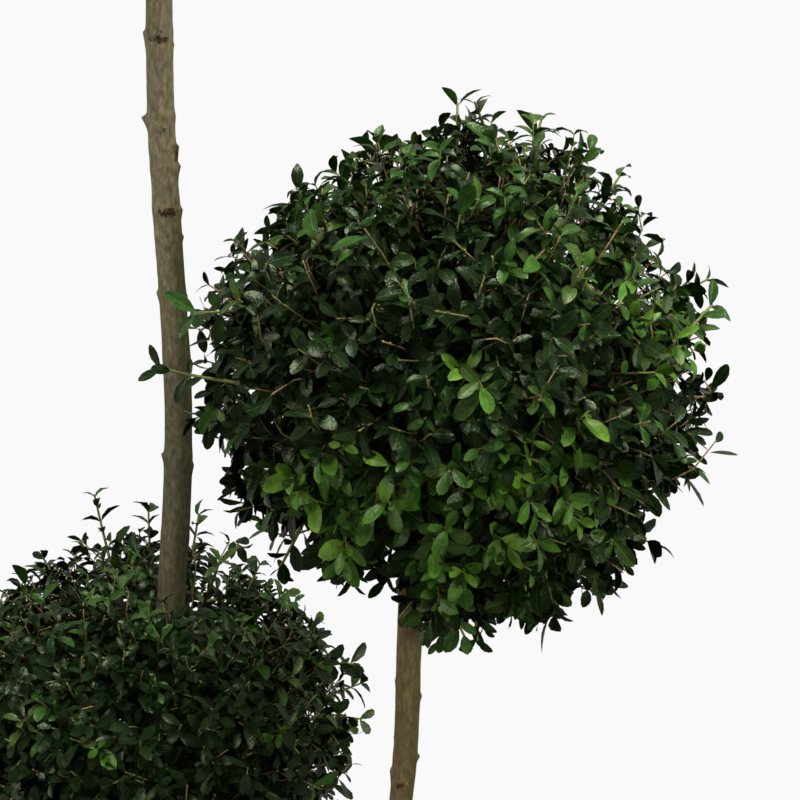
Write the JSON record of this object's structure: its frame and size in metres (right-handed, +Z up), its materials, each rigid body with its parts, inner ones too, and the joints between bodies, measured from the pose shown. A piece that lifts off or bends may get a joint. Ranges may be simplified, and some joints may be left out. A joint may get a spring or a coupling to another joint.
{
  "type": "potted topiary tree",
  "caption": "Potted evergreen topiary: a main stem threaded through one clipped leaf ball with another at its tip, and a side stem that carries a further ball, in a plain round pot.",
  "frame": {"origin": "centre of the pot's flat underside", "axes": "+Z up, +X to the right and -Y towards the viewer when the plant is seen from the front, where the side stem's ball stands nearest and to the right"},
  "size_m": [0.6539, 0.6855, 1.7535],
  "materials": {
    "pot": "smooth matt anthracite plastic",
    "compost": "moist dark potting compost, rough and crumbly",
    "bark": "thin greyish olive-brown bark, finely mottled",
    "foliage": "small glossy dark green leaves with younger yellow-green ones"
  },
  "bodies": {
    "root": {"pot": "pot", "compost": "compost", "main_stem": "bark", "side_stem": "bark", "lower_ball": "foliage", "middle_ball": "foliage", "top_ball": "foliage"}
  },
  "joints": []
}
